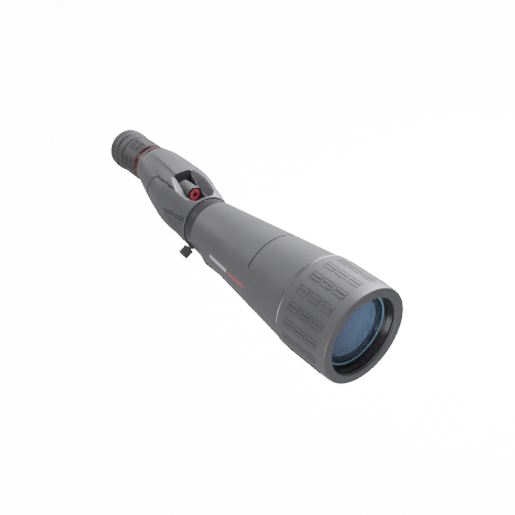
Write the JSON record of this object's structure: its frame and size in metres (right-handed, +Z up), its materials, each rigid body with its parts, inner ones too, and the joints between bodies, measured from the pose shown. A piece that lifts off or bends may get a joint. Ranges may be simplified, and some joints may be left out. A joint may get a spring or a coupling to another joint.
{
  "type": "spotting scope",
  "caption": "Straight-body spotting scope with tapered rubber-armoured barrel, sliding sunshade, top focus knob, zoom eyepiece, twist-up eyecup and rotating tripod collar.",
  "frame": {"origin": "mouth of the threaded tripod socket, in the plane of the foot's sole", "axes": "-Y points along the optical axis out of the objective, +Z is up, +X is the side away from the lock knob"},
  "size_m": [0.104, 0.4385, 0.1083],
  "materials": {
    "armour_rubber": "satin moulded rubber",
    "grip_rubber": "matte ribbed rubber",
    "dark_plastic": "fine-grained nylon",
    "black_aluminium": "black anodised",
    "grey_casting": "grey powder coat",
    "red_gloss": "glossy anodised red",
    "steel": "machined",
    "brass": "machined",
    "seal_rubber": "smooth",
    "coated_glass": "blue-violet coated",
    "prism_glass": "polished"
  },
  "bodies": {
    "mount": {"tripod_collar": "grey_casting", "collar_liner": "dark_plastic", "tripod_foot": "grey_casting", "foot_insert": "steel", "foot_pad": "grip_rubber", "foot_screws": "steel"},
    "lock_pad": {"lock_pad": "brass"},
    "lock_knob": {"lock_knob": "dark_plastic", "lock_screw": "steel"},
    "scope": {"barrel_shell": "black_aluminium", "barrel_armour": "armour_rubber", "light_baffles": "black_aluminium", "sunshade_o_rings": "seal_rubber", "neck_seal": "seal_rubber", "objective_retaining_ring": "black_aluminium", "objective_cell": "black_aluminium", "objective_crown_lens": "coated_glass", "objective_spacer": "black_aluminium", "objective_flint_lens": "coated_glass", "housing_armour": "armour_rubber", "housing_left_shell": "dark_plastic", "housing_right_shell": "dark_plastic", "housing_screws": "steel", "focus_bush": "brass", "fixed_prism": "prism_glass", "prism_bracket": "black_aluminium", "guide_rods": "steel", "eyepiece_seat": "dark_plastic", "accent_rings": "red_gloss", "eyepiece_tube": "black_aluminium", "zoom_guide_tube": "dark_plastic", "field_stop": "black_aluminium", "eye_lens_cell": "black_aluminium", "eye_lens": "coated_glass"},
    "sunshade": {"sunshade_shell": "black_aluminium", "sunshade_armour": "armour_rubber", "sunshade_bead": "grey_casting"},
    "focus_knob": {"focus_knob_core": "dark_plastic", "focus_knob_grip": "grip_rubber", "focus_knob_rim": "dark_plastic", "focus_knob_cap": "red_gloss", "focus_knob_screw": "steel"},
    "focus_sled": {"focus_sled": "black_aluminium", "focus_push_rod": "steel", "moving_prism": "prism_glass"},
    "zoom_ring": {"zoom_ring_core": "black_aluminium", "zoom_ring_grip": "grip_rubber", "zoom_cam_sleeve": "black_aluminium", "zoom_drive_screw": "steel"},
    "zoom_front_group": {"zoom_front_group_cell": "dark_plastic", "zoom_front_group_lens": "coated_glass"},
    "zoom_rear_group": {"zoom_rear_group_cell": "dark_plastic", "zoom_rear_group_lens": "coated_glass"},
    "eyecup_runner": {"eyecup_runner": "dark_plastic"},
    "eyecup": {"eyecup_core": "dark_plastic", "eyecup_rubber": "grip_rubber"}
  },
  "joints": [
    {"name": "scope_roll", "type": "hinge", "parent": "mount", "child": "scope", "pos_m": [0, 0.0276, 0.048], "axis": [0, 1, 0], "continuous": true},
    {"name": "lock_slide", "type": "slide", "parent": "mount", "child": "lock_pad", "axis": [-0.8572, 0, -0.515], "range_m": [0, 0.0012]},
    {"name": "lock_turn", "type": "hinge", "parent": "lock_pad", "child": "lock_knob", "pos_m": [-0.03, 0.0275, 0.02997], "axis": [-0.8572, 0, -0.515], "range_deg": [0, 541]},
    {"name": "sunshade_slide", "type": "slide", "parent": "scope", "child": "sunshade", "axis": [0, -1, 0], "range_m": [0, 0.035]},
    {"name": "focus_turn", "type": "hinge", "parent": "scope", "child": "focus_knob", "pos_m": [0, 0.068, 0.0762], "axis": [0, -1, 0], "range_deg": [-542, 542]},
    {"name": "focus_slide", "type": "slide", "parent": "scope", "child": "focus_sled", "axis": [0, 1, 0], "range_m": [-0.0015, 0.0015]},
    {"name": "zoom_turn", "type": "hinge", "parent": "scope", "child": "zoom_ring", "pos_m": [0, 0.171, 0.0771], "axis": [0, 1, 0], "range_deg": [0, 110.3]},
    {"name": "zoom_front_slide", "type": "slide", "parent": "scope", "child": "zoom_front_group", "axis": [0, 1, 0], "range_m": [0, 0.005]},
    {"name": "zoom_rear_slide", "type": "slide", "parent": "scope", "child": "zoom_rear_group", "axis": [0, 1, 0], "range_m": [-0.00401, 0]},
    {"name": "eyecup_slide", "type": "slide", "parent": "scope", "child": "eyecup_runner", "axis": [0, 1, 0], "range_m": [0, 0.008]},
    {"name": "eyecup_twist", "type": "hinge", "parent": "eyecup_runner", "child": "eyecup", "pos_m": [0, 0.192, 0.0771], "axis": [0, 1, 0], "range_deg": [0, 180.4]}
  ],
  "couplings": [
    {"joint": "lock_turn", "follows": "lock_slide", "rad_per_m": 7854},
    {"joint": "focus_turn", "follows": "focus_slide", "rad_per_m": 6283.2},
    {"joint": "zoom_turn", "follows": "zoom_front_slide", "rad_per_m": 383.97},
    {"joint": "zoom_rear_slide", "follows": "zoom_front_slide", "ratio": -0.8},
    {"joint": "eyecup_twist", "follows": "eyecup_slide", "rad_per_m": 392.7}
  ]
}
